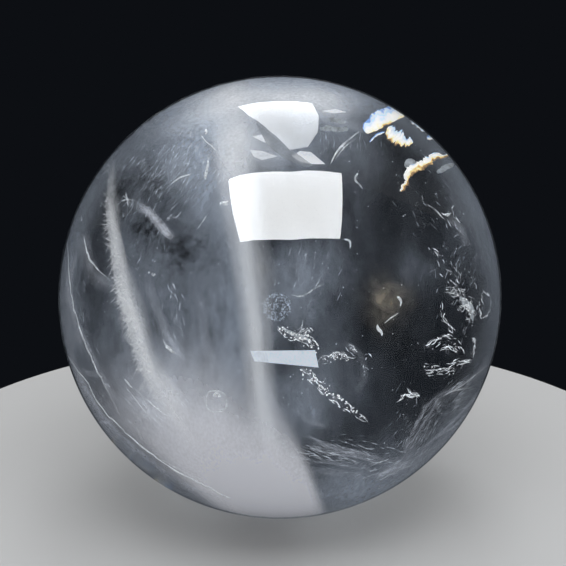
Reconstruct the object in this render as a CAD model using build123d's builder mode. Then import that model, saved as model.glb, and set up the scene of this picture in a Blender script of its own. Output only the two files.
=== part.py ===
"""A polished rock-crystal sphere: one solid ball of quartz, ground and lapped true.

Units are millimetres. The origin is the ball's centre, +Z is up, and -Y is the side
it is shown from.
"""

import os

from build123d import *

# Driving dimension
ball_diameter = 75.0  # finished, polished size

# The stone is a single crystal with no core, bore or flat, so its section is a half
# disc on the XZ plane, closed along the axis and turned through a full circle about Z.
ball_radius = ball_diameter / 2
top_pole = (0, ball_radius)
bottom_pole = (0, -ball_radius)
equator = (ball_radius, 0)

with BuildPart() as quartz_sphere:
    with BuildSketch(Plane.XZ) as half_section:
        with BuildLine() as outline:
            ThreePointArc(bottom_pole, equator, top_pole)
            Line(top_pole, bottom_pole)
        make_face()
    revolve(axis=Axis.Z)

quartz_sphere.part.label = "quartz_sphere"

os.makedirs("parts", exist_ok=True)
export_step(quartz_sphere.part, "parts/quartz_sphere.step")
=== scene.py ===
import math
import random

import bmesh
import bpy
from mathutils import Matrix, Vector, noise


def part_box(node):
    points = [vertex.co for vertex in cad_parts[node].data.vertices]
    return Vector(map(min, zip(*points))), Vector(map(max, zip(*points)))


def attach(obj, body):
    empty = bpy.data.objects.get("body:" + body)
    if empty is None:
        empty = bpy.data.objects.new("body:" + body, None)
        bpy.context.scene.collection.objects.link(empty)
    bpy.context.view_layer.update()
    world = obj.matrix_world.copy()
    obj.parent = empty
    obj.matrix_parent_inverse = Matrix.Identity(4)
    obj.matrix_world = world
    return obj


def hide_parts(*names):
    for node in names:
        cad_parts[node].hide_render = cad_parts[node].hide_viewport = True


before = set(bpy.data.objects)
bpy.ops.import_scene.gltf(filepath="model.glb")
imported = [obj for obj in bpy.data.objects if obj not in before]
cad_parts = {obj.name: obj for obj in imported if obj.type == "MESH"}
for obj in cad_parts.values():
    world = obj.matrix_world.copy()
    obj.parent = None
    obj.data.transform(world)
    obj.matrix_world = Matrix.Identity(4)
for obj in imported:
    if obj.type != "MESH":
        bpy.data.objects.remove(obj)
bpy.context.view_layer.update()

ballLow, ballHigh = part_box("quartz_sphere")
ballCentre = (ballLow + ballHigh) / 2
ballRadius = min(ballHigh - ballLow) / 2
quartzIndex = 1.544  # how strongly quartz bends light

# The viewer looks down on the ball from the front
viewer = {
    "tilt": 20.0,  # degrees above the horizon
    "lens": 100,
    "sensor": 36,
    "ballShare": 0.783,  # ball's width against the frame's
    "aimRight": 0.0106,  # of the frame's half width
    "aimUp": 0.0495,
}
tilt = math.radians(viewer["tilt"])
toViewer = Vector((0, -math.cos(tilt), math.sin(tilt)))
viewUp = Vector((0, math.sin(tilt), math.cos(tilt)))
viewRight = Vector((1, 0, 0))
limbAngle = math.atan(viewer["sensor"] / 2 / viewer["lens"] * viewer["ballShare"])
eyePoint = ballCentre + toViewer * ballRadius / math.sin(limbAngle)


def bend(way, normal, ratio):
    # Snell's law: a ray that meets a surface whose normal faces it
    cosIn = -way.dot(normal)
    cosOut = math.sqrt(1 - (1 - cosIn ** 2) * ratio ** 2)
    return way * ratio + normal * (ratio * cosIn - cosOut)


limbReach = 0.993  # the farthest line of sight used, as a share of the radius
skinGap = 0.012  # how far inside both skins the pieces stay, as a share of the way through


def frontHit(across, up):
    # Where the line of sight to (across, up), both as shares of the radius, meets the front skin
    reach = math.hypot(across, up)
    if reach > limbReach:
        across, up = across * limbReach / reach, up * limbReach / reach
    target = ballCentre + (viewRight * across + viewUp * up) * ballRadius / math.cos(limbAngle)
    sight = (target - eyePoint).normalized()
    nearest = (ballCentre - eyePoint).dot(sight)
    miss = (eyePoint + sight * nearest - ballCentre).length
    entry = eyePoint + sight * (nearest - math.sqrt(ballRadius ** 2 - miss ** 2))
    return entry, sight, (entry - ballCentre).normalized()


def inStone(across, up, depth):
    # The point that shows at (across, up) from the front, at a depth that runs from 0 at the
    # front skin to 1 at the back skin
    entry, sight, normal = frontHit(across, up)
    inside = bend(sight, normal, 1 / quartzIndex)
    chord = -2 * ballRadius * inside.dot(normal)
    return entry + inside * chord * (skinGap + (1 - 2 * skinGap) * depth)


def smoothPath(points, steps):
    # Catmull-Rom curve through the handles, whatever they hold
    ends = [points[0]] + list(points) + [points[-1]]
    path = []
    for i in range(1, len(ends) - 2):
        a, b, c, d = ends[i - 1:i + 3]
        for k in range(steps):
            t = k / steps
            path.append(tuple(
                0.5 * (2 * q + (r - p) * t + (2 * p - 5 * q + 4 * r - s) * t * t
                       + (3 * q - p - 3 * r + s) * t ** 3)
                for p, q, r, s in zip(a, b, c, d)))
    path.append(tuple(points[-1]))
    return path


def smoothStep(low, high, value):
    # 0 at low and 1 at high, whichever is larger
    t = min(1.0, max(0.0, (value - low) / (high - low)))
    return t * t * (3 - 2 * t)


def ripple(x, y, z):
    # Smooth chance between about -1 and 1, the same at every run
    return noise.noise(Vector((x, y, z)))


def newObject(name, content):
    thing = bpy.data.objects.new(name, content)
    bpy.context.scene.collection.objects.link(thing)
    return thing


def addNode(tree, kind, values=None, **settings):
    # A shader node. Settings come first, because they decide which sockets it has. A value that is
    # a socket is linked, and one that is a node is linked from its first output in use.
    node = tree.nodes.new("ShaderNode" + kind)
    for name, value in settings.items():
        setattr(node, name, value)
    for name, value in (values or {}).items():
        if isinstance(value, bpy.types.Node):
            value = next(socket for socket in value.outputs if socket.enabled)
        if isinstance(value, bpy.types.NodeSocket):
            tree.links.new(value, node.inputs[name])
        else:
            node.inputs[name].default_value = value
    return node


def addMath(tree, operation, *values, kind="Math", **settings):
    return addNode(tree, kind, dict(enumerate(values)), operation=operation, **settings)


def addMix(tree, factor, low, high):
    return addNode(tree, "Mix", {"Factor": factor, "A": low, "B": high}, data_type="RGBA")


def newMaterial(name):
    material = bpy.data.materials.new(name)
    material.use_nodes = True
    material.node_tree.nodes.clear()
    return material, material.node_tree


def newGroup(name, inputs, outputName, outputKind):
    # A shader node group with its inputs' usual values
    tree = bpy.data.node_groups.new(name, "ShaderNodeTree")
    for label, value in inputs.items():
        kind = "Color" if isinstance(value, tuple) else "Float"
        socket = tree.interface.new_socket(label, in_out="INPUT", socket_type="NodeSocket" + kind)
        socket.default_value = value
    tree.interface.new_socket(outputName, in_out="OUTPUT", socket_type="NodeSocket" + outputKind)
    given = tree.nodes.new("NodeGroupInput").outputs
    return tree, given, tree.nodes.new("NodeGroupOutput").inputs[outputName]


def newForm(layer="thickness"):
    # An empty bmesh whose points carry a value for the material to read
    form = bmesh.new()
    return form, form.verts.layers.float.new(layer)


def joinRows(form, rows):
    for low, high in zip(rows, rows[1:]):
        for j in range(len(low) - 1):
            form.faces.new((low[j], low[j + 1], high[j + 1], high[j]))


def sideways(path, i):
    # The direction across a line, to its left, at point i
    after = path[min(i + 1, len(path) - 1)]
    before = path[max(i - 1, 0)]
    slope = Vector((after[0] - before[0], after[1] - before[1])).normalized()
    return -slope.y, slope.x


def newPiece(name, form, material, smooth=True):
    # Turns a bmesh into a piece of the stone
    mesh = bpy.data.meshes.new(name)
    for face in form.faces:
        face.smooth = smooth
    form.to_mesh(mesh)
    form.free()
    piece = newObject(name, mesh)
    mesh.materials.append(material)
    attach(piece, "root")
    # What lies inside is too thin to shade or tint its surroundings
    piece.visible_shadow = name == "quartzBall"
    piece.visible_diffuse = name == "quartzBall"
    print(f"{name}: {len(mesh.polygons)} faces")
    return piece


def makeMilkGroup():
    # Cloudy patches broken up by fine grain, as one mask from 0 to 1
    tree, given, done = newGroup("milkyGrain", {
        "Thickness": 1, "Grain Scale": 30, "Cloud Scale": 3, "Contrast": 0.5, "Grain": 0.5, "Stretch": 1,
    }, "Mask", "Float")
    place = addNode(tree, "TexCoord").outputs["Object"]
    unit = addNode(tree, "VectorMath", {0: place, "Scale": 1 / ballRadius}, operation="SCALE")
    stretch = addNode(tree, "CombineXYZ", {"X": 1, "Y": 1, "Z": given["Stretch"]})
    drawn = addMath(tree, "MULTIPLY", unit, stretch, kind="VectorMath")
    clouds = addNode(tree, "TexNoise", {
        "Vector": drawn, "Scale": given["Cloud Scale"], "Detail": 1, "Roughness": 0.6})
    cloudy = addNode(tree, "MapRange", {"Value": clouds, "From Min": 0.32, "From Max": 0.68})
    grain = addNode(tree, "TexNoise", {
        "Vector": drawn, "Scale": given["Grain Scale"], "Detail": 1, "Roughness": 0.7})
    grainy = addNode(tree, "MapRange", {
        "Value": grain, "From Min": 0.3, "From Max": 0.7,
        "To Min": addMath(tree, "SUBTRACT", 1, given["Grain"]),
        "To Max": addMath(tree, "ADD", 1, given["Grain"])})
    keep = addMath(tree, "SUBTRACT", 1, given["Contrast"])
    mixed = addMath(tree, "MULTIPLY_ADD", cloudy, given["Contrast"], keep)
    rough = addMath(tree, "MULTIPLY", mixed, grainy)
    mask = addMath(tree, "MULTIPLY", rough, given["Thickness"], use_clamp=True)
    tree.links.new(mask.outputs[0], done)
    return tree


milk = makeMilkGroup()


def newMilk(name, form, look):
    # Turns a bmesh into a milky piece. What is thin shows faintly. It also glows in its own tone by the
    # look's glow, though it is no lamp: painted light.
    material, tree = newMaterial(name)
    tone = (*look["tone"], 1)
    mask = addNode(tree, "Group", {
        "Thickness": addNode(tree, "Attribute", attribute_name="thickness").outputs["Fac"],
        "Grain Scale": look["scale"], "Grain": look["grain"], "Cloud Scale": look["cloud"],
        "Contrast": look["contrast"], "Stretch": look["stretch"]}, node_tree=milk)
    shader = addNode(tree, "BsdfPrincipled", {
        "Base Color": tone, "Roughness": 0.9, "Specular IOR Level": 0, "Alpha": mask,
        "Emission Color": tone, "Emission Strength": look["glow"]})
    addNode(tree, "OutputMaterial", {"Surface": shader})
    newPiece(name, form, material)


def makeSpeckleGroup():
    # Two tones of one colour, mottled by fine specks
    tree, given, done = newGroup("frostSpeckle", {
        "Dull": (0, 0, 0, 1), "Bright": (0, 0, 0, 1), "Speck Scale": 0}, "Colour", "Color")
    place = addNode(tree, "TexCoord").outputs["Object"]
    speck = addNode(tree, "TexNoise", {"Vector": place, "Scale": given["Speck Scale"], "Detail": 2})
    sharper = addNode(tree, "MapRange", {"Value": speck, "From Min": 0.38, "From Max": 0.62})
    tree.links.new(addMix(tree, sharper, given["Dull"], given["Bright"]).outputs["Result"], done)
    return tree


speckles = makeSpeckleGroup()


def addGlow(tree, colour, glow, roughness):
    # A surface that glows in its own colour, though it is no lamp: painted light
    shader = addNode(tree, "BsdfPrincipled", {
        "Base Color": colour, "Emission Color": colour, "Emission Strength": glow, "Roughness": roughness})
    addNode(tree, "OutputMaterial", {"Surface": shader})


def frostMaterial(name, look):
    material, tree = newMaterial(name)
    speckle = addNode(tree, "Group", {
        "Dull": (*[c * look["dull"] for c in look["tone"]], 1), "Bright": (*look["tone"], 1),
        "Speck Scale": look["speck"]}, node_tree=speckles)
    addGlow(tree, speckle, look["glow"], 0.3)
    return material


skin = {"tint": (0.74, 0.78, 0.82), "density": 10, "rough": 0, "subdivisions": 7}


def makeBall():
    form = bmesh.new()
    bmesh.ops.create_icosphere(form, subdivisions=skin["subdivisions"], radius=ballRadius)
    material, tree = newMaterial("polishedQuartz")
    shader = addNode(tree, "BsdfPrincipled", {
        "Base Color": (1, 1, 1, 1), "Transmission Weight": 1, "IOR": quartzIndex,
        "Roughness": skin["rough"]})
    depth = addNode(tree, "VolumeAbsorption", {"Color": (*skin["tint"], 1), "Density": skin["density"]})
    addNode(tree, "OutputMaterial", {"Surface": shader, "Volume": depth})
    ball = newPiece("quartzBall", form, material)
    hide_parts("quartz_sphere")


haze = {
    "layers": (0.18, 0.42, 0.70),  # depths of the sheets
    "wave": 0.06,
    "streaks": 0.75,
    "strength": 0.34,
    # across, up, half width, half height, lean in degrees, strength
    "clouds": (
        (-0.6, -0.12, 0.2, 0.46, 8, 0.46),
        (-0.42, -0.42, 0.26, 0.32, 18, 0.4),
        (-0.36, 0.02, 0.15, 0.45, 8, 0.08),
        (-0.06, 0.92, 0.4, 0.12, 0, 1.4),
        (-0.42, 0.8, 0.28, 0.13, 34, 0.7),
        (-0.26, 0.66, 0.14, 0.26, 0, 0.95),
        (-0.44, 0.62, 0.22, 0.16, 35, 0.28),
        (-0.24, 0.06, 0.12, 0.5, 5, 0.7),
        (0.6, 0.1, 0.5, 0.8, 0, 0.034),
        (0.1, 0.12, 0.17, 0.13, 0, 0.4),
        (-0.02, 0.66, 0.16, 0.08, -25, 0.8),
        (-0.93, 0.1, 0.06, 0.3, 0, 0.3),
        (0.08, -0.09, 0.15, 0.12, 0, 0.34),
        (0.08, -0.5, 0.15, 0.16, 0, 0.75),
        (0.24, 0.72, 0.22, 0.14, -20, 0.3),
        (0.22, -0.33, 0.2, 0.14, -20, 0.2),
        (0.55, -0.7, 0.4, 0.12, 32, 0.16),
        (0.32, -0.86, 0.26, 0.1, 12, 1.1),
        (0.62, 0.12, 0.1, 0.09, 0, 0.16),
        (0.84, 0.28, 0.07, 0.2, 12, 0.22),
        (0.3, 0.4, 0.1, 0.26, 0, 0.1),
        (-0.8, -0.32, 0.14, 0.3, 22, 0.26),
    ),
    "base": 0.012,
    # how much milk lies along the limb: painted reflection
    "rim": 0.66,
    "look": {"tone": (0.74, 0.84, 1), "glow": 0.16, "scale": 60, "grain": 0.25, "cloud": 4,
             "contrast": 0.45, "stretch": 0.4},
}

# The dense white bank at the bottom, with a clean edge on both sides
bank = {
    "layers": (0.1, 0.24, 0.42),
    "wave": 0.03,
    "streaks": 0.2,
    "strength": 0.74,
    "clouds": (
        (-0.26, -0.74, 0.38, 0.23, -28, 1),
        (-0.02, -0.92, 0.34, 0.18, 0, 1.7),
        (-0.42, -0.52, 0.2, 0.22, 30, 0.26),
    ),
    # across, up, way in as degrees, softness
    "edges": ((0.115, -0.78, 200, 0.035), (-0.56, -0.72, 53, 0.05)),
    "look": {"tone": (0.92, 0.93, 1), "glow": 0.2, "scale": 90, "grain": 0.12, "cloud": 4,
             "contrast": 0.2, "stretch": 0.5},
}

# White cloud that fills the top of the middle veil
crown = {
    "layers": (0.12, 0.3),
    "wave": 0.03,
    "streaks": 0.35,
    "strength": 0.55,
    "clouds": (
        (-0.215, 0.74, 0.075, 0.26, 2, 1),
        (-0.04, 0.9, 0.26, 0.055, 0, 1.1),
        (-0.32, 0.85, 0.16, 0.06, 28, 0.5),
        (-0.08, 0.68, 0.1, 0.1, -30, 0.4),
        (0.22, 0.86, 0.1, 0.05, -14, 0.4),
    ),
    "look": {"tone": (0.93, 0.94, 0.97), "glow": 0.3, "scale": 90, "grain": 0.15, "cloud": 6,
             "contrast": 0.35, "stretch": 0.5},
}

# Near-black sheets near the front that darken the milk behind them on the left: painted shade
darkShadePatch = {
    "layers": (0.06,),
    "wave": 0.01,
    "streaks": 0.6,
    "strength": 0.74,
    "clouds": (
        (-0.56, 0.26, 0.16, 0.06, -38, 0.8),
        (-0.4, 0.205, 0.095, 0.08, 16, 1.15),
        (-0.66, 0.5, 0.1, 0.06, 30, 1),
        (-0.5, 0.42, 0.12, 0.05, 40, 0.35),
        (-0.86, 0.12, 0.05, 0.16, -8, 0.5),
        (-0.72, -0.22, 0.05, 0.14, 14, 0.4),
    ),
    "look": {"tone": (0.03, 0.033, 0.04), "glow": 0, "scale": 26, "grain": 0.7, "cloud": 9,
             "contrast": 0.7, "stretch": 1},
}

brownPatch = {
    "layers": (0.45,),
    "wave": 0.02,
    "streaks": 0.5,
    "strength": 0.36,
    "clouds": (
        (0.47, -0.04, 0.07, 0.11, 20, 1),
        (0.55, 0, 0.06, 0.05, 0, 0.6),
        (-0.1, 0.12, 0.05, 0.06, 0, 0.8),
    ),
    "look": {"tone": (0.6, 0.52, 0.4), "glow": 0.05, "scale": 30, "grain": 0.6, "cloud": 9,
             "contrast": 0.7, "stretch": 1},
}


thinnestMilk = 0.006  # what is thinner than this is clear stone
deepSheet = 0.5  # a sheet deeper than this fades out between the next two shares of the radius
deepFade = (0.74, 0.90)


def cloudLevel(cloudy, across, up):
    total = cloudy.get("base", 0.0)
    for x, y, wide, tall, lean, strength in cloudy["clouds"]:
        turn = math.radians(lean)
        dx, dy = across - x, up - y
        side = (dx * math.cos(turn) + dy * math.sin(turn)) / wide
        rise = (dy * math.cos(turn) - dx * math.sin(turn)) / tall
        total += strength * math.exp(-(side * side + rise * rise) * 0.9)
    for x, y, inward, soft in cloudy.get("edges", ()):
        turn = math.radians(inward)
        past = (across - x) * math.cos(turn) + (up - y) * math.sin(turn)
        total *= smoothStep(-soft, soft, past)
    # Milk added in a band along the limb, weaker low down, stands in for the limb's bright reflection:
    # painted reflection
    edge = smoothStep(0.84, 1.0, math.hypot(across, up)) ** 1.5
    return total + cloudy.get("rim", 0.0) * (0.92 + 0.45 * min(0.0, up)) * edge  # weaker low down


def makeClouds(name, cloudy):
    # Wavy sheets across the whole stone, thick only where a cloud is
    form, thickness = newForm()
    grid = 100
    for number, depth in enumerate(cloudy["layers"]):
        rows = []
        for i in range(grid + 1):
            row = []
            for j in range(grid + 1):
                across, up = 2 * j / grid - 1, 2 * i / grid - 1
                reach = max(abs(across), abs(up)) / max(math.hypot(across, up), 1e-6)
                across, up = across * reach * limbReach, up * reach * limbReach
                sway = ripple(across * 1.7, up * 1.7, number * 5.0)
                vert = form.verts.new(inStone(across, up, depth + cloudy["wave"] * sway))
                patch = 0.9 + 0.5 * ripple(across * 2.2, up * 1.3, number * 3.7)
                curl = across + 0.06 * ripple(across * 3, up * 3, number + 9.0)
                streaky = cloudy["streaks"] * smoothStep(1.0, 0.74, math.hypot(across, up))
                patch += streaky * ripple(curl * 11, up * 3.0, number * 1.9)
                patch += 0.7 * streaky * ripple(curl * 24, up * 11, number * 2.3)
                level = cloudLevel(cloudy, across, up) * max(0.1, patch) * cloudy["strength"]
                if depth > deepSheet:
                    # Light bends so far near the limb that a deep sheet would show twice
                    level *= smoothStep(deepFade[1], deepFade[0], math.hypot(across, up))
                vert[thickness] = max(0.0, level - thinnestMilk)
                row.append(vert)
            rows.append(row)
        for i in range(grid):
            for j in range(grid):
                corners = (rows[i][j], rows[i][j + 1], rows[i + 1][j + 1], rows[i + 1][j])
                if max(corner[thickness] for corner in corners) > 0:
                    form.faces.new(corners)
    bmesh.ops.delete(form, geom=[vert for vert in form.verts if not vert.link_faces], context="VERTS")
    newMilk(name, form, cloudy["look"])


centreVeil = {
    # across, up, width
    "line": ((-0.215, 0.93, 0.16), (-0.205, 0.75, 0.15), (-0.185, 0.5, 0.13), (-0.155, 0.25, 0.12),
             (-0.125, 0.03, 0.115), (-0.11, -0.15, 0.11), (-0.088, -0.38, 0.105),
             (-0.055, -0.6, 0.12), (-0.01, -0.76, 0.17), (0.03, -0.93, 0.22)),
    "ribbons": 11,
    "near": 0.1,
    "far": 0.86,
    "strength": 0.225,
    "left": -0.5,  # how far the ribbons stray to each side, in widths
    "right": 0.34,
    "seed": 2,
    "look": {"tone": (0.93, 0.95, 0.99), "glow": 0.26, "scale": 80, "grain": 0.3, "cloud": 5,
             "contrast": 0.25, "stretch": 0.3},
}

leftVeil = {
    "line": ((-0.75, 0.655, 0.018), (-0.768, 0.43, 0.045), (-0.744, 0.25, 0.058), (-0.705, 0.02, 0.075),
             (-0.662, -0.1, 0.08), (-0.615, -0.26, 0.085), (-0.555, -0.39, 0.095),
             (-0.435, -0.6, 0.12), (-0.33, -0.76, 0.15)),
    "ribbons": 8,
    "near": 0.1,
    "far": 0.62,
    "strength": 0.25,
    "left": -0.22,
    "right": 0.65,
    "seed": 5,
    "look": {"tone": (0.93, 0.95, 0.98), "glow": 0.32, "scale": 90, "grain": 0.5, "cloud": 9,
             "contrast": 0.45, "stretch": 1},
}


def addRibbon(form, thickness, points, strength, twist=0.05, crisp=False):
    # A soft-edged band that follows (across, up, depth, width). A crisp one has a clean left side.
    columns = 6
    rows = []
    for i, (across, up, depth, width) in enumerate(points):
        leftX, leftY = sideways(points, i)
        along = i / (len(points) - 1)
        ends = smoothStep(0, 0.2, along) * smoothStep(0, 0.2, 1 - along)
        row = []
        for j in range(columns + 1):
            t = j / columns * 2 - 1
            offset = t * width / 2
            vert = form.verts.new(inStone(across + leftX * offset, up + leftY * offset, depth + twist * t))
            soft = (1 + t) / 2 * min(1, (1 - t) * 6) if crisp else (1 - t * t) ** 1.3
            vert[thickness] = strength * ends * soft
            row.append(vert)
        rows.append(row)
    joinRows(form, rows)


def makeVeil(name, veil):
    # Many soft ribbons at all depths along one line. From the front they add up to a white band,
    # and from the side they are a faint curtain.
    rand = random.Random(veil["seed"])
    form, thickness = newForm()
    path = smoothPath(veil["line"], 8)
    for number in range(veil["ribbons"]):
        depth = veil["near"] + (veil["far"] - veil["near"]) * number / (veil["ribbons"] - 1)
        shift = rand.triangular(veil["left"], veil["right"], 0.0)
        share = rand.uniform(0.45, 1.0)
        points = []
        for i, (across, up, width) in enumerate(path):
            roam = ripple(i * 0.09, number * 3.1, veil["seed"])
            points.append((across + (shift + 0.22 * roam) * width, up, depth + 0.05 * roam,
                           width * share * (1 + 0.4 * roam)))
        addRibbon(form, thickness, points, veil["strength"] * rand.uniform(0.7, 1.3))
    newMilk(name, form, veil["look"])


streaks = {
    # width, strength, depth, then (across, up) along each
    "soft": (
        (0.07, 0.13, 0.14, ((0.42, -0.79), (0.54, -0.745), (0.64, -0.6), (0.7, -0.48), (0.77, -0.43),
            (0.86, -0.41))),
        (0.06, 0.14, 0.12, ((0.44, -0.8), (0.59, -0.745), (0.72, -0.67), (0.81, -0.6), (0.885, -0.51))),
        (0.034, 0.45, 0.12, ((0.42, -0.82), (0.5, -0.78), (0.58, -0.75))),
        (0.02, 0.26, 0.16, ((0.56, -0.71), (0.61, -0.58), (0.67, -0.47))),
        (0.014, 0.3, 0.16, ((0.58, -0.68), (0.66, -0.55), (0.73, -0.45))),
        (0.012, 0.3, 0.16, ((0.6, -0.62), (0.66, -0.5), (0.72, -0.44), (0.8, -0.42))),
        (0.016, 0.3, 0.14, ((0.62, -0.7), (0.74, -0.6), (0.84, -0.5), (0.9, -0.42))),
        (0.014, 0.28, 0.14, ((0.7, -0.64), (0.8, -0.57), (0.88, -0.48))),
        (0.03, 0.2, 0.14, ((0.8, -0.4), (0.88, -0.36), (0.945, -0.27))),
        (0.018, 0.24, 0.2, ((0.1, -0.62), (0.22, -0.665), (0.36, -0.7), (0.5, -0.745))),
        (0.014, 0.28, 0.2, ((0.14, -0.69), (0.26, -0.71), (0.38, -0.73), (0.48, -0.755))),
        (0.012, 0.26, 0.2, ((0.16, -0.65), (0.26, -0.69), (0.36, -0.715))),
        (0.034, 0.16, 0.22, ((0.12, -0.66), (0.24, -0.69), (0.38, -0.715), (0.46, -0.73))),
        (0.016, 0.18, 0.22, ((0.12, -0.74), (0.24, -0.75), (0.38, -0.78))),
        (0.04, 0.14, 0.22, ((0.1, -0.78), (0.24, -0.79), (0.38, -0.81))),
        (0.03, 0.2, 0.2, ((0.06, -0.5), (0.13, -0.56), (0.22, -0.585))),
        (0.055, 0.6, 0.09, ((-0.66, 0.425), (-0.61, 0.395), (-0.57, 0.36), (-0.53, 0.31), (-0.475, 0.255))),
        (0.038, 0.95, 0.08, ((-0.63, 0.41), (-0.59, 0.38), (-0.54, 0.32), (-0.48, 0.258))),
        (0.018, 0.4, 0.08, ((-0.52, 0.345), (-0.485, 0.36), (-0.45, 0.355))),
        (0.05, 0.2, 0.16, ((-0.98, -0.05), (-0.955, -0.2), (-0.9, -0.36), (-0.8, -0.53))),
        (0.036, 0.3, 0.12, ((-0.955, 0.1), (-0.925, -0.08), (-0.86, -0.24), (-0.79, -0.38), (-0.7, -0.52))),
        (0.028, 0.4, 0.05, ((-0.815, -0.56), (-0.785, -0.566), (-0.75, -0.56))),
        (0.034, 0.3, 0.05, ((-0.9, -0.325), (-0.86, -0.345), (-0.81, -0.35))),
        (0.055, 0.2, 0.22, ((-0.6, 0.1), (-0.57, -0.02), (-0.52, -0.14), (-0.48, -0.22), (-0.43, -0.3))),
        (0.022, 0.3, 0.2, ((-0.53, -0.13), (-0.5, -0.19), (-0.465, -0.235), (-0.445, -0.28))),
        (0.06, 0.16, 0.25, ((-0.36, 0.02), (-0.34, -0.16), (-0.3, -0.34))),
        (0.05, 0.18, 0.25, ((-0.52, -0.34), (-0.44, -0.46), (-0.36, -0.6), (-0.3, -0.74))),
        (0.03, 0.42, 0.16, ((-0.7, -0.42), (-0.63, -0.49), (-0.54, -0.58), (-0.46, -0.66))),
        (0.024, 0.44, 0.16, ((-0.66, -0.43), (-0.59, -0.5), (-0.5, -0.57))),
        (0.05, 0.22, 0.12, ((-0.87, 0.3), (-0.86, 0.18), (-0.81, 0.09), (-0.74, 0.05))),
        (0.05, 0.2, 0.12, ((0.25, 0.8), (0.32, 0.775), (0.4, 0.75))),
        (0.04, 0.2, 0.16, ((0.76, 0.36), (0.82, 0.3), (0.84, 0.22))),
        (0.04, 0.14, 0.2, ((0.28, -0.2), (0.36, -0.26), (0.38, -0.36), (0.34, -0.44))),
        (0.08, 0.1, 0.2, ((-0.64, 0.7), (-0.5, 0.76), (-0.36, 0.72))),
    ),
    # The same, but with one clean side, along the edges of old healed cracks
    "oneSided": (
        (0.08, 0.5, 0.1, ((-0.985, -0.22), (-0.925, -0.37), (-0.815, -0.555), (-0.69, -0.68),
            (-0.54, -0.8), (-0.36, -0.9), (-0.2, -0.96))),
        (0.06, 0.34, 0.12, ((-0.93, 0.22), (-0.965, 0.05), (-0.945, -0.12), (-0.9, -0.26))),
        (0.06, 0.3, 0.12, ((-0.9, 0.3), (-0.89, 0.18), (-0.84, 0.08), (-0.76, 0.03))),
    ),
    "look": {"tone": (0.84, 0.89, 1), "glow": 0.18, "scale": 90, "grain": 0.5, "cloud": 10,
             "contrast": 0.5, "stretch": 1},
}


def makeStreaks():
    form, thickness = newForm()
    for kind in ("soft", "oneSided"):
        for width, strength, depth, handles in streaks[kind]:
            points = [(across, up, depth, width) for across, up in smoothPath(handles, 7)]
            addRibbon(form, thickness, points, strength, 0.02, kind == "oneSided")
    newMilk("softStreaks", form, streaks["look"])


# What all the threads, fibres and strokes are made of
thread = {"tone": (0.9, 0.95, 1), "glow": 0.34, "scale": 120, "grain": 0.7, "cloud": 16,
          "contrast": 0.6, "stretch": 1}

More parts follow.
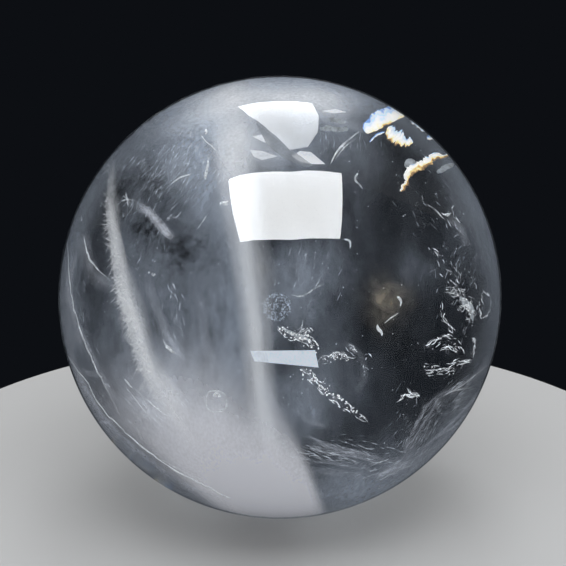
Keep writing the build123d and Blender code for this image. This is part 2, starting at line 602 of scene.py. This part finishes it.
wisps = {
    "depth": 0.09,
    # width, strength, then (across, up) along the line
    "lines": (
        (0.008, 0.95, ((-0.961, 0.25), (-0.943, 0.02), (-0.898, -0.16), (-0.835, -0.31), (-0.722, -0.53))),
        (0.01, 1.2, ((-0.965, -0.26), (-0.89, -0.356), (-0.785, -0.52), (-0.663, -0.64), (-0.514, -0.753),
            (-0.334, -0.853), (-0.22, -0.911))),
        (0.005, 0.5, ((-0.7, -0.6), (-0.6, -0.69), (-0.46, -0.775), (-0.34, -0.83))),
        (0.006, 0.75, ((-0.884, 0.275), (-0.87, 0.2), (-0.83, 0.135), (-0.767, 0.08))),
        (0.006, 0.7, ((0.23, 0.6), (0.25, 0.645), (0.293, 0.695), (0.36, 0.749))),
        (0.005, 0.35, ((0.25, 0.62), (0.29, 0.675), (0.35, 0.72))),
        (0.006, 0.6, ((-0.36, 0.735), (-0.32, 0.69), (-0.29, 0.665))),
        (0.009, 0.9, ((-0.325, 0.62), (-0.333, 0.56), (-0.338, 0.53))),
        (0.005, 0.5, ((-0.325, 0.66), (-0.325, 0.62))),
        (0.007, 0.8, ((-0.487, 0.514), (-0.45, 0.54), (-0.406, 0.555))),
        (0.006, 0.55, ((-0.37, 0.31), (-0.35, 0.34), (-0.33, 0.37))),
        (0.006, 0.75, ((-0.715, 0.435), (-0.69, 0.44), (-0.655, 0.437))),
        (0.006, 0.75, ((-0.695, 0.475), (-0.69, 0.44), (-0.685, 0.41))),
        (0.005, 0.6, ((-0.71, 0.46), (-0.69, 0.44), (-0.668, 0.418))),
        (0.009, 0.9, ((0.352, 0.56), (0.343, 0.54), (0.35, 0.515), (0.375, 0.49))),
        (0.009, 0.55, ((0.66, 0.42), (0.7, 0.39), (0.74, 0.352))),
        (0.005, 0.35, ((0.64, 0.46), (0.65, 0.43), (0.66, 0.42))),
        (0.007, 0.7, ((0.29, 0.262), (0.315, 0.25), (0.315, 0.217))),
        (0.005, 0.4, ((0.05, 0.01), (0.1, 0.005), (0.16, 0.04), (0.2, 0.06))),
        (0.017, 1.6, ((0.445, -0.12), (0.448, -0.15), (0.455, -0.18))),
        (0.006, 0.5, ((0.47, -0.12), (0.5, -0.095), (0.54, -0.07))),
        (0.012, 1, ((0.525, 0), (0.54, -0.02), (0.54, -0.045))),
        (0.004, 0.45, ((0.7, -0.47), (0.78, -0.425), (0.866, -0.41))),
        (0.004, 0.35, ((0.73, -0.447), (0.82, -0.4), (0.934, -0.31))),
        (0.004, 0.4, ((0.44, -0.83), (0.52, -0.79), (0.6, -0.755))),
        (0.004, 0.35, ((0.9, -0.46), (0.86, -0.53), (0.8, -0.6))),
        (0.008, 0.8, ((-0.7, -0.365), (-0.685, -0.39), (-0.665, -0.41))),
        (0.005, 0.8, ((-0.7, -0.4), (-0.62, -0.5), (-0.5, -0.61))),
        (0.005, 0.8, ((-0.65, -0.42), (-0.57, -0.49), (-0.47, -0.57))),
        (0.006, 0.6, ((-0.33, -0.44), (-0.33, -0.5), (-0.29, -0.52), (-0.245, -0.5), (-0.24, -0.46))),
        (0.005, 0.5, ((-0.33, -0.44), (-0.315, -0.425), (-0.26, -0.43), (-0.24, -0.46))),
        (0.01, 0.95, ((-0.3, -0.445), (-0.285, -0.432), (-0.265, -0.45))),
        (0.008, 0.6, ((-0.52, -0.225), (-0.49, -0.24), (-0.465, -0.255))),
        (0.006, 0.5, ((-0.53, -0.19), (-0.51, -0.22), (-0.48, -0.235))),
    ),
    "look": thread,
}


def addLine(form, thickness, points, width, strength, tip=0.15, uneven=0):
    # A thread through the stone that tapers to both ends
    places = [inStone(*point) for point in points]
    sides = 4
    rings = []
    for i, place in enumerate(places):
        ahead = places[min(i + 1, len(places) - 1)] - places[max(i - 1, 0)]
        ahead.normalize()
        side = ahead.cross(toViewer).normalized()
        over = side.cross(ahead)
        along = i / (len(places) - 1)
        swell = 1 + uneven * ripple(points[i][0] * 14, points[i][1] * 14, width * 900)
        half = width * ballRadius / 2 * max(tip, math.sin(math.pi * along) ** 0.5) * swell
        ring = [form.verts.new(place + (side * math.cos(a) + over * math.sin(a)) * half)
                for a in (k * math.tau / sides for k in range(sides))]
        for vert in ring:
            vert[thickness] = strength * (1 + uneven * noise.noise(place * 400))
        rings.append(ring)
    for low, high in zip(rings, rings[1:]):
        for k in range(sides):
            form.faces.new((low[k], low[(k + 1) % sides], high[(k + 1) % sides], high[k]))
    form.faces.new(rings[0][::-1])
    form.faces.new(rings[-1])


def makeWisps():
    rand = random.Random(4)
    form, thickness = newForm()
    for width, strength, handles in wisps["lines"]:
        depth = wisps["depth"] + rand.uniform(-0.04, 0.06)
        points = []
        for i, (across, up) in enumerate(smoothPath(handles, 8)):
            jitter = ripple(across * 30, up * 30, depth * 40) * width * 0.6
            points.append((across + jitter, up + jitter, depth + 0.01 * math.sin(i * 0.6)))
        addLine(form, thickness, points, width, strength, 0.1, 0.9)
    newMilk("brightLines", form, wisps["look"])


feathers = {
    "count": 2400,
    "length": 0.044,
    "width": 0.0017,
    "strength": 0.55,
    "look": {**thread, "tone": (0.92, 0.94, 0.96), "glow": 0.28},
}


def makeFeathers():
    # Fibres that fray the left side of the left veil
    rand = random.Random(11)
    form, thickness = newForm()
    path = smoothPath(leftVeil["line"], 20)
    for _ in range(feathers["count"]):
        across, up, width = path[int(rand.triangular(0.03, 0.98, 0.6) * (len(path) - 1))]
        depth = rand.uniform(0.10, 0.45)
        long = feathers["length"] * rand.uniform(0.15, 1.0) ** 1.8
        rise = rand.gauss(0.25, 0.9)
        start = (across + rand.uniform(-0.35, 0.35) * width, up + rand.uniform(-0.02, 0.02), depth)
        end = (start[0] - long, start[1] - long * rise, depth + rand.uniform(0, 0.03))
        bow = long * rand.uniform(-0.15, 0.15)
        points = []
        for t in (0, 0.35, 0.7, 1):
            here = [a + (b - a) * t for a, b in zip(start, end)]
            points.append((here[0], here[1] + bow * t * (1 - t) * 4, here[2]))
        addLine(form, thickness, points, feathers["width"] * rand.uniform(0.5, 1.3),
                feathers["strength"] * rand.uniform(0.4, 1.3), 0.1)
    newMilk("veilFibres", form, feathers["look"])


brushed = {
    # count, middle, half spread, lean in degrees
    "patches": ((200, (-0.47, 0.6), (0.18, 0.15), 58), (110, (-0.58, 0.54), (0.2, 0.14), 52),
                (90, (-0.36, 0.64), (0.18, 0.14), 75), (50, (-0.62, 0.36), (0.14, 0.22), 66),
                (30, (0.82, 0.14), (0.08, 0.2), 70), (26, (0.3, 0.7), (0.14, 0.06), 85),
                (130, (0.63, -0.6), (0.13, 0.16), 58), (100, (0.48, -0.76), (0.18, 0.05), 22),
                (110, (0.82, -0.46), (0.12, 0.14), 45), (150, (0.26, -0.7), (0.24, 0.06), -14),
                (190, (-0.58, -0.5), (0.17, 0.1), -45), (40, (0.1, 0.1), (0.2, 0.14), 70),
                (50, (-0.49, -0.08), (0.08, 0.26), 100), (44, (0.78, -0.05), (0.16, 0.4), 80),
                (36, (0.68, 0.42), (0.18, 0.2), -50), (40, (-0.88, -0.2), (0.06, 0.26), -70)),
    "length": 0.05,
    "width": 0.0022,
    "strength": 0.38,
    "look": {**thread, "tone": (0.84, 0.91, 1), "glow": 0.55},
}


def makeBrushed():
    # Short strokes, as if a dry brush had passed
    rand = random.Random(23)
    form, thickness = newForm()
    for count, middle, spread, lean in brushed["patches"]:
        for _ in range(count):
            across = middle[0] + rand.gauss(0, 0.5) * spread[0]
            up = middle[1] + rand.gauss(0, 0.5) * spread[1]
            turn = math.radians(lean + rand.gauss(0, 10))
            long = brushed["length"] * rand.uniform(0.3, 1.0)
            depth = rand.uniform(0.05, 0.2)
            points = [(across + math.cos(turn) * long * t, up + math.sin(turn) * long * t, depth)
                      for t in (-0.5, -0.2, 0.2, 0.5)]
            addLine(form, thickness, points, brushed["width"] * rand.uniform(0.4, 1.2),
                    brushed["strength"] * rand.uniform(0.3, 1.4), 0.1)
    newMilk("brushedStrokes", form, brushed["look"])


scribbles = {
    # strokes, spread, length, wander in degrees, depth, then (across, up) along the middle
    "marks": (
        (42, 0.03, 0.045, 24, 0.1, ((0.755, 0.03), (0.8, 0.015), (0.84, -0.03), (0.87, -0.1))),
        (26, 0.034, 0.03, 70, 0.1, ((0.81, -0.02), (0.84, -0.05), (0.86, -0.08))),
        (20, 0.008, 0.04, 14, 0.1, ((0.905, -0.02), (0.915, 0.02), (0.94, 0.015), (0.95, -0.03),
            (0.935, -0.08), (0.9, -0.1))),
        (14, 0.008, 0.03, 16, 0.1, ((0.905, -0.02), (0.9, -0.06), (0.905, -0.09))),
        (18, 0.01, 0.04, 18, 0.12, ((0.726, -0.05), (0.737, -0.1), (0.76, -0.12), (0.78, -0.16))),
        (26, 0.016, 0.045, 14, 0.12, ((0.67, -0.225), (0.7, -0.195), (0.75, -0.18), (0.8, -0.2),
            (0.83, -0.235))),
        (16, 0.02, 0.035, 14, 0.12, ((0.72, -0.235), (0.76, -0.225), (0.79, -0.24))),
        (20, 0.009, 0.045, 12, 0.12, ((0.872, -0.19), (0.88, -0.24), (0.86, -0.285), (0.82, -0.29))),
        (22, 0.02, 0.05, 12, 0.12, ((0.655, -0.31), (0.72, -0.325), (0.78, -0.3), (0.84, -0.285))),
        (22, 0.02, 0.045, 20, 0.12, ((0.67, -0.345), (0.72, -0.335), (0.77, -0.32))),
        (16, 0.014, 0.045, 12, 0.14, ((0.54, -0.46), (0.58, -0.445), (0.62, -0.445))),
        (10, 0.01, 0.03, 20, 0.14, ((0.56, -0.41), (0.59, -0.43), (0.62, -0.44))),
        (20, 0.01, 0.04, 14, 0.14, ((0.165, -0.3), (0.19, -0.275), (0.23, -0.26), (0.28, -0.25),
            (0.31, -0.275))),
        (16, 0.014, 0.035, 30, 0.14, ((0.2, -0.29), (0.25, -0.265), (0.3, -0.27))),
        (30, 0.018, 0.04, 22, 0.16, ((-0.01, -0.14), (0.05, -0.175), (0.1, -0.195), (0.155, -0.225))),
        (26, 0.022, 0.035, 40, 0.16, ((0.08, -0.17), (0.12, -0.15), (0.15, -0.19))),
        (16, 0.004, 0.05, 6, 0.13, ((0.113, -0.335), (0.2, -0.395), (0.3, -0.475), (0.392, -0.558))),
        (16, 0.004, 0.05, 6, 0.13, ((0.1, -0.35), (0.18, -0.425), (0.28, -0.5), (0.388, -0.562))),
        (24, 0.018, 0.03, 50, 0.13, ((0.13, -0.36), (0.2, -0.415), (0.28, -0.47), (0.35, -0.525))),
        (12, 0.008, 0.02, 60, 0.12, ((-0.27, 0.43), (-0.24, 0.42))),
        (10, 0.006, 0.016, 80, 0.08, ((-0.335, 0.757), (-0.33, 0.745))),
        (24, 0.05, 0.045, 40, 0.16, ((0.7, 0.2), (0.78, 0.1), (0.84, 0.02))),
        (16, 0.04, 0.045, 40, 0.16, ((0.76, 0.37), (0.82, 0.28))),
        (14, 0.03, 0.04, 30, 0.16, ((0.3, -0.22), (0.36, -0.26), (0.4, -0.32))),
    ),
    "width": 0.0032,
    "share": 0.9,
    "look": {**thread, "glow": 0.7},
}


def makeScribbles():
    # Marks drawn with many short, thin, uneven strokes
    rand = random.Random(31)
    form, thickness = newForm()
    for count, spread, length, wander, depth, handles in scribbles["marks"]:
        path = smoothPath(handles, 10)
        for _ in range(round(count * scribbles["share"])):
            spot = rand.randrange(len(path) - 1)
            ahead = Vector(path[spot + 1]) - Vector(path[spot])
            turn = math.atan2(ahead.y, ahead.x) + math.radians(rand.gauss(0, wander))
            long = length * rand.uniform(0.25, 1.0)
            across = path[spot][0] + rand.gauss(0, 0.5) * spread
            up = path[spot][1] + rand.gauss(0, 0.5) * spread
            bow = rand.uniform(-0.2, 0.2)
            points = []
            for t in (-0.5, -0.25, 0.0, 0.25, 0.5):
                side = bow * long * (0.25 - t * t) * 4
                points.append((across + (math.cos(turn) * t * long - math.sin(turn) * side),
                               up + (math.sin(turn) * t * long + math.cos(turn) * side),
                               depth + rand.uniform(-0.004, 0.004)))
            addLine(form, thickness, points, scribbles["width"] * rand.uniform(0.35, 1.3),
                    rand.uniform(0.25, 1.1), 0.15, 0.4)
    newMilk("whiteScribbles", form, scribbles["look"])


crumbs = {
    # count, size, depth, spread at the start and at the end, then (across, up) along the middle
    "clusters": (
        (70, 0.009, 0.13, 0.034, 0.004, ((0.113, -0.343), (0.2, -0.41), (0.3, -0.48), (0.388, -0.555))),
        (46, 0.009, 0.16, 0.02, 0.03, ((0, -0.13), (0.05, -0.17), (0.1, -0.185), (0.16, -0.23))),
        (26, 0.01, 0.16, 0.022, 0.012, ((0.05, -0.17), (0.1, -0.18), (0.13, -0.16))),
        (24, 0.007, 0.14, 0.018, 0.016, ((0.19, -0.29), (0.24, -0.26), (0.3, -0.28))),
        (26, 0.008, 0.1, 0.034, 0.028, ((0.79, 0.02), (0.84, -0.03), (0.87, -0.1))),
        (24, 0.006, 0.12, 0.022, 0.018, ((0.66, -0.31), (0.74, -0.34), (0.83, -0.31))),
        (12, 0.006, 0.12, 0.02, 0.018, ((0.68, -0.21), (0.74, -0.19), (0.8, -0.23))),
        (8, 0.006, 0.14, 0.016, 0.012, ((0.54, -0.45), (0.6, -0.45))),
        (6, 0.007, 0.12, 0.012, 0.008, ((0.73, -0.07), (0.77, -0.14))),
        (10, 0.007, 0.12, 0.012, 0.012, ((-0.26, 0.43), (-0.24, 0.42))),
        (6, 0.008, 0.08, 0.01, 0.01, ((-0.335, 0.755), (-0.33, 0.745))),
        (6, 0.008, 0.08, 0.008, 0.008, ((-0.3, -0.44), (-0.27, -0.445))),
        (5, 0.006, 0.08, 0.006, 0.006, ((-0.893, 0.36), (-0.893, 0.35))),
        (8, 0.006, 0.14, 0.012, 0.012, ((-0.58, 0.11), (-0.57, 0.1))),
    ),
    "specks": 420,  # strewn through the front of the stone
    "speckSize": 0.0038,
    "speckReach": 0.92,
    "speckDepths": (0.06, 0.4),
    "look": {"tone": (0.94, 0.96, 0.98), "dull": 0.55, "speck": 1400, "glow": 0.8},
}


def addCrumb(form, place, size, rand):
    # A small broken chip: a lopsided eight-sided lump
    turn = [rand.uniform(0, math.tau) for _ in range(3)]
    axis = Vector((math.cos(turn[0]) * math.sin(turn[1]), math.sin(turn[0]) * math.sin(turn[1]),
                   math.cos(turn[1])))
    side = axis.orthogonal().normalized()
    over = axis.cross(side)
    half = size * ballRadius / 2
    tips = [form.verts.new(place + way * half * rand.uniform(0.35, 1.3))
            for way in (axis, -axis, side, over, -side, -over)]
    for a, b in ((2, 3), (3, 4), (4, 5), (5, 2)):
        form.faces.new((tips[0], tips[a], tips[b]))
        form.faces.new((tips[1], tips[b], tips[a]))


def makeCrumbs():
    rand = random.Random(7)
    form = bmesh.new()
    for count, size, depth, startSpread, endSpread, handles in crumbs["clusters"]:
        path = smoothPath(handles, 12)
        for _ in range(count):
            along = rand.random()
            across, up = path[int(along * (len(path) - 1))]
            spread = startSpread + (endSpread - startSpread) * along
            across += rand.gauss(0, 0.5) * spread
            up += rand.gauss(0, 0.5) * spread
            place = inStone(across, up, depth + rand.gauss(0, 0.5) * spread)
            addCrumb(form, place, size * rand.uniform(0.3, 1.3), rand)
    for _ in range(crumbs["specks"]):
        turn, reach = rand.uniform(0, math.tau), math.sqrt(rand.random()) * crumbs["speckReach"]
        depth = rand.uniform(*crumbs["speckDepths"])
        place = inStone(reach * math.cos(turn), reach * math.sin(turn), depth)
        addCrumb(form, place, crumbs["speckSize"] * rand.uniform(0.4, 1.2), rand)
    newPiece("frostCrumbs", form, frostMaterial("whiteFrost", crumbs["look"]), smooth=False)


frostBall = {
    "centre": (-0.014, -0.045, 0.24),  # across, up, depth
    "radius": 0.05,
    "count": 520,
    "size": 0.0065,
    "look": {"tone": (0.62, 0.7, 0.82), "dull": 0.5, "speck": 1400, "glow": 0.16},
}


def makeFrostBall():
    # A round bubble of frost just right of the middle veil
    rand = random.Random(19)
    form = bmesh.new()
    middle = inStone(*frostBall["centre"])
    for _ in range(frostBall["count"]):
        way = Vector((rand.gauss(0, 1), rand.gauss(0, 1), rand.gauss(0, 1))).normalized()
        far = frostBall["radius"] * ballRadius * rand.uniform(0.82, 1.0)
        if noise.noise(way * 2.4) > -0.12:
            addCrumb(form, middle + way * far, frostBall["size"] * rand.uniform(0.4, 1.2), rand)
    newPiece("frostBubble", form, frostMaterial("greyFrost", frostBall["look"]), smooth=False)


flashes = {
    # width, depth, how jagged, colour from 0 for brown to 1 for blue, then (across, up) along it
    "rainbow": (
        (0.078, 0.09, 0.2, 0.42, ((0.385, 0.745), (0.43, 0.79), (0.5, 0.825), (0.575, 0.84))),
        (0.054, 0.1, 0.8, 0.34, ((0.485, 0.765), (0.51, 0.735), (0.545, 0.71), (0.6, 0.695))),
        (0.04, 0.11, 0.6, 0.22, ((0.565, 0.53), (0.6, 0.575), (0.65, 0.6), (0.7, 0.632),
            (0.765, 0.64))),
        (0.03, 0.09, 0.4, 0.52, ((0.665, 0.715), (0.7, 0.727), (0.745, 0.705))),
        (0.02, 0.09, 0.8, 0.14, ((0.548, 0.475), (0.565, 0.505), (0.58, 0.535))),
        (0.014, 0.09, 0.8, 0.6, ((0.59, 0.8), (0.625, 0.775), (0.655, 0.745))),
        (0.01, 0.09, 0.8, 0.62, ((0.405, 0.7), (0.44, 0.735), (0.475, 0.745))),
    ),
    "grey": (
        (0.05, 0.12, 0.3, 0, ((0.565, 0.61), (0.59, 0.6), (0.615, 0.605))),
        (0.026, 0.12, 0.3, 0, ((0.71, 0.56), (0.75, 0.585), (0.785, 0.6))),
        (0.022, 0.14, 0.6, 0, ((0.81, 0), (0.83, -0.02), (0.86, -0.05), (0.87, -0.11))),
        (0.018, 0.16, 0.6, 0, ((0.02, -0.15), (0.07, -0.17), (0.13, -0.19))),
        (0.02, 0.14, 0.6, 0, ((0.22, 0.8), (0.26, 0.795), (0.3, 0.785))),
        (0.024, 0.14, 0.7, 0, ((0.18, 0.755), (0.24, 0.76), (0.31, 0.755))),
    ),
    "greyLook": {"tone": (0.62, 0.68, 0.74), "dull": 0.6, "speck": 900, "glow": 0.15},
    "film": (  # place along the colours, then the colour
        (0.2, (0.3, 0.19, 0.1)), (0.29, (0.82, 0.6, 0.26)), (0.37, (1, 0.88, 0.56)),
        (0.45, (1, 0.99, 0.93)), (0.64, (0.96, 0.98, 1)), (0.72, (0.52, 0.72, 1)),
        (0.8, (0.84, 0.93, 1)), (0.88, (0.22, 0.38, 0.74)),
    ),
    "filmGlow": 0.62,
}


def addFlash(form, band, width, depth, jag, hue, handles, seed):
    # A thin crumpled film with a torn outline and fine ridges across it
    path = smoothPath(handles, 28)
    columns = 12
    rows = []
    for i, (across, up) in enumerate(path):
        leftX, leftY = sideways(path, i)
        along = i / (len(path) - 1)
        row = []
        for j in range(columns + 1):
            t = j / columns * 2 - 1
            torn = 1
            for size, share in ((9, 1.0), (26, 0.8), (70, 0.5)):
                torn += jag * share * ripple(along * size, seed, 4 * (t > 0))
            half = width / 2 * max(0.03, torn * math.sin(math.pi * along) ** 0.45)
            lean = 0.35 * width * jag * ripple(along * 6, seed, 9)
            ridge = 0.002 * math.sin(along * 55 + 1.5 * math.sin(t * 2 + seed)) * (1 - t * t)
            rough = 0.008 * ripple(across * 26, up * 26 + t * 3, seed)
            offset = half * t + lean
            vert = form.verts.new(inStone(across + leftX * offset, up + leftY * offset,
                                          depth + 0.10 * width * t + ridge + rough))
            vert[band] = hue + 0.28 * t + 0.2 * ripple(along * 14, t * 1.5, seed)
            row.append(vert)
        rows.append(row)
    joinRows(form, rows)


def rainbowMaterial():
    # Brown and yellow along the crack's low side, white in the middle and blue along the high side
    material, tree = newMaterial("rainbowFilm")
    side = addNode(tree, "Attribute", attribute_name="band").outputs["Fac"]
    place = addNode(tree, "TexCoord").outputs["Object"]
    stray = addNode(tree, "TexNoise", {"Vector": place, "Scale": 700, "Detail": 3})
    film = addNode(tree, "ValToRGB", {"Fac": addMath(tree, "MULTIPLY_ADD", stray, 0.4, side)})
    ramp = film.color_ramp.elements
    ramp.remove(ramp[1])
    for number, (position, colour) in enumerate(flashes["film"]):
        step = ramp.new(position) if number else ramp[0]
        step.position = position
        step.color = (*colour, 1)
    addGlow(tree, film, flashes["filmGlow"], 0.2)
    return material


# Flat patches, each a strength, a depth and its corners: a painted reflection, crack facets with painted
# highlights and a sheet of painted shade
facets = {
    # A glowing white strip low in the middle that shows a window reflected in the back skin: painted
    # reflection
    "paintedGlintStrip": {
        "flats": (
            (1, 0.12, ((-0.135, -0.243), (0.158, -0.24), (0.174, -0.318), (-0.115, -0.29))),
        ),
        "look": {**thread, "tone": (0.82, 0.9, 1), "glow": 0.34, "grain": 0.1, "contrast": 0.1},
    },
    # Crack facets beside the top glint, painted white and glowing: painted highlights
    "topFacets": {
        "flats": (
            (0.9, 0.05, ((0.055, 0.635), (0.09, 0.66), (0.14, 0.655), (0.205, 0.6), (0.15, 0.6),
                (0.09, 0.61))),
            (0.8, 0.06, ((-0.125, 0.725), (-0.08, 0.735), (-0.035, 0.69), (-0.075, 0.7))),
            (0.7, 0.06, ((-0.135, 0.665), (-0.08, 0.66), (-0.01, 0.635), (-0.08, 0.618), (-0.12, 0.635))),
            (0.9, 0.05, ((0.19, 0.84), (0.25, 0.85), (0.3, 0.835), (0.24, 0.83))),
        ),
        "look": {**thread, "tone": (0.92, 0.95, 1), "glow": 0.4, "grain": 0.1, "contrast": 0.2},
    },
    # A grey sheet along the lower edge of the top glint that darkens the milk behind it: painted shade
    "shadeWedge": {
        "flats": (
            (0.65, 0.035, ((-0.11, 0.79), (-0.045, 0.735), (0.06, 0.66), (0.15, 0.595), (0.12, 0.585),
                (0.02, 0.625), (-0.06, 0.69))),
        ),
        "look": {**thread, "tone": (0.4, 0.43, 0.47), "glow": 0.1, "grain": 0.1, "contrast": 0.1},
    },
}


def addFacet(form, thickness, strength, depth, corners, divisions=10):
    # A flat patch with straight edges, filled by rings towards its middle
    middle = [sum(corner[k] for corner in corners) / len(corners) for k in (0, 1)]
    outline = []
    for a, b in zip(corners, corners[1:] + corners[:1]):
        for k in range(divisions):
            t = k / divisions
            outline.append((a[0] + (b[0] - a[0]) * t, a[1] + (b[1] - a[1]) * t))
    rings = []
    for inner in (1.0, 0.66, 0.33):
        rings.append([form.verts.new(inStone(middle[0] + (x - middle[0]) * inner,
                                             middle[1] + (y - middle[1]) * inner, depth))
                      for x, y in outline])
    hub = form.verts.new(inStone(*middle, depth))
    for vert in [hub] + sum(rings, []):
        vert[thickness] = strength
    for k in range(len(outline)):
        after = (k + 1) % len(outline)
        for wide, tight in zip(rings, rings[1:]):
            form.faces.new((wide[k], wide[after], tight[after], tight[k]))
        form.faces.new((rings[-1][k], rings[-1][after], hub))


def makeFacets(name):
    form, thickness = newForm()
    for strength, depth, corners in facets[name]["flats"]:
        addFacet(form, thickness, strength, depth, corners)
    newMilk(name, form, facets[name]["look"])


def makeFlashes(name, marks, material):
    form, band = newForm("band")
    for number, (width, depth, jag, hue, handles) in enumerate(marks):
        addFlash(form, band, width, depth, jag, hue, handles, number * 3.3 + len(name))
    newPiece(name, form, material)


studio = {
    "backdrop": (0.004, 0.0048, 0.0065),
    "fill": 0.5,
    "floorShade": (0.58, 0.58, 0.58),
    # The floor where it shows through the ball and where it shows in its skin, both fading to the backdrop:
    # painted shade that darkens the ball
    "floorInGlass": (0.01, 0.011, 0.014),
    "floorOnSkin": (0.17, 0.185, 0.21),
    "floorReach": 2.0,  # in ball radii
    "floorNear": 0.4,
    "lampDistance": 0.4,
    "lampTone": (0.965, 0.985, 1),
    "lampInGlass": 0.4,  # a lamp's level where it shows through the ball
    # Each lamp: its level in reflections, its level on things, then (across, up) of its glint's corners
    "lamps": {
        "keyPanel": (16.5, 3.6, (
            (-0.232, 0.53), (-0.19, 0.548), (0.04, 0.565), (0.278, 0.558), (0.282, 0.42),
            (0.272, 0.262), (0.05, 0.258), (-0.18, 0.25), (-0.215, 0.39))),
        "topPanel": (7, 2.5, (
            (-0.19, 0.86), (0, 0.885), (0.144, 0.875), (0.176, 0.817), (0.171, 0.744),
            (0.126, 0.677), (0.045, 0.663), (-0.045, 0.749), (-0.144, 0.821))),
    },
}


def firstSeen(tree, rays):
    # 1 for rays of these kinds that haven't yet met a dull surface, so that show the surroundings
    # themselves, and 0 for the light that falls on things
    path = addNode(tree, "LightPath").outputs
    seen = path[rays[0]]
    for ray in rays[1:]:
        seen = addMath(tree, "MAXIMUM", seen, path[ray])
    return addMath(tree, "MULTIPLY", addMath(tree, "LESS_THAN", path["Diffuse Depth"], 0.5), seen)


def litPanel(name, shown, given, corners):
    # A soft lamp, placed by where its glint sits on the ball
    mesh = bpy.data.meshes.new(name)
    points = []
    for across, up in corners:
        spot, sight, normal = frontHit(across, up)
        points.append(spot + sight.reflect(normal) * studio["lampDistance"])
    mesh.from_pydata(points, [], [list(range(len(points)))])
    panel = newObject(name, mesh)
    material, tree = newMaterial(name)
    # A ray that passes through glass counts as both kinds, so transmission comes last
    level = given
    for ray, seen in (("Is Glossy Ray", shown), ("Is Transmission Ray", studio["lampInGlass"])):
        level = addNode(tree, "MapRange", {
            "Value": firstSeen(tree, [ray]), "To Min": level, "To Max": seen})
    glow = addNode(tree, "Emission", {"Color": (*studio["lampTone"], 1), "Strength": level})
    addNode(tree, "OutputMaterial", {"Surface": glow})
    mesh.materials.append(material)
    panel.visible_camera = False


def makeWorld():
    world = bpy.data.worlds.new("studio")
    bpy.context.scene.world = world
    world.use_nodes = True
    tree = world.node_tree
    tree.nodes.clear()
    sight = firstSeen(tree, ["Is Camera Ray", "Is Glossy Ray", "Is Transmission Ray"])
    fill = addNode(tree, "Background", {"Color": (1, 1, 1, 1), "Strength": studio["fill"]})
    backdrop = addNode(tree, "Background", {"Color": (*studio["backdrop"], 1)})
    mix = addNode(tree, "MixShader", {0: sight, 1: fill, 2: backdrop})
    addNode(tree, "OutputWorld", {"Surface": mix})


def makeFloor():
    form = bmesh.new()
    bmesh.ops.create_circle(form, cap_ends=True, segments=160, radius=studio["floorReach"] * ballRadius)
    mesh = bpy.data.meshes.new("floor")
    form.to_mesh(mesh)
    form.free()
    floor = newObject("floor", mesh)
    floor.location.z = ballLow.z
    material, tree = newMaterial("floor")
    far = addMath(tree, "LENGTH", addNode(tree, "TexCoord").outputs["Object"], kind="VectorMath")
    near = addNode(tree, "MapRange", {  # 1 under the ball and 0 at the floor's edge
        "Value": far, "From Min": studio["floorReach"] * ballRadius,
        "From Max": studio["floorNear"] * ballRadius}, interpolation_type="SMOOTHSTEP")
    shade = (*studio["floorShade"], 1)
    # Where the floor shows in the ball's skin or through it, it is painted darker than it is: painted shade
    for ray, tone in (("Is Glossy Ray", "floorOnSkin"), ("Is Transmission Ray", "floorInGlass")):
        tint = addMix(tree, near, (*studio["backdrop"], 1), (*studio[tone], 1))
        shade = addMix(tree, firstSeen(tree, [ray]), shade, tint)
    shader = addNode(tree, "BsdfPrincipled", {"Base Color": shade, "Roughness": 0.9})
    addNode(tree, "OutputMaterial", {"Surface": shader})
    mesh.materials.append(material)


def makeCamera():
    camera = newObject("camera", bpy.data.cameras.new("camera"))
    camera.data.lens = viewer["lens"]
    camera.data.sensor_width = viewer["sensor"]
    camera.data.clip_start = 0.01
    camera.location = eyePoint
    halfWidth = ballRadius / math.cos(limbAngle) / viewer["ballShare"]
    aim = ballCentre + (viewRight * viewer["aimRight"] + viewUp * viewer["aimUp"]) * halfWidth
    camera.rotation_mode = "QUATERNION"
    camera.rotation_quaternion = (aim - eyePoint).to_track_quat("-Z", "Y")
    bpy.context.scene.camera = camera


makeCamera()
print("camera placed")

makeBall()
for name, cloudy in (("milkyHaze", haze), ("milkBank", bank), ("topMilk", crown),
                     ("darkShadePatch", darkShadePatch), ("brownPatch", brownPatch)):
    makeClouds(name, cloudy)
print("clouds made")

makeVeil("centreVeil", centreVeil)
makeVeil("leftVeil", leftVeil)
makeStreaks()
makeWisps()
makeFeathers()
makeBrushed()
makeScribbles()
for name in facets:
    makeFacets(name)
print("veils, threads and facets made")

makeCrumbs()
makeFrostBall()
makeFlashes("rainbowCracks", flashes["rainbow"], rainbowMaterial())
makeFlashes("greyCracks", flashes["grey"], frostMaterial("greyFilm", flashes["greyLook"]))
print("frost and flashes made")

for name, (shown, given, corners) in studio["lamps"].items():
    litPanel(name, shown, given, corners)
makeWorld()
makeFloor()
print("lamps, backdrop and floor placed")

scene = bpy.context.scene
scene.view_settings.view_transform = "Standard"
scene.cycles.transparent_max_bounces = 64  # a line of sight crosses many thin sheets
scene.cycles.transmission_bounces = 8
scene.cycles.diffuse_bounces = 1
scene.cycles.max_bounces = 9
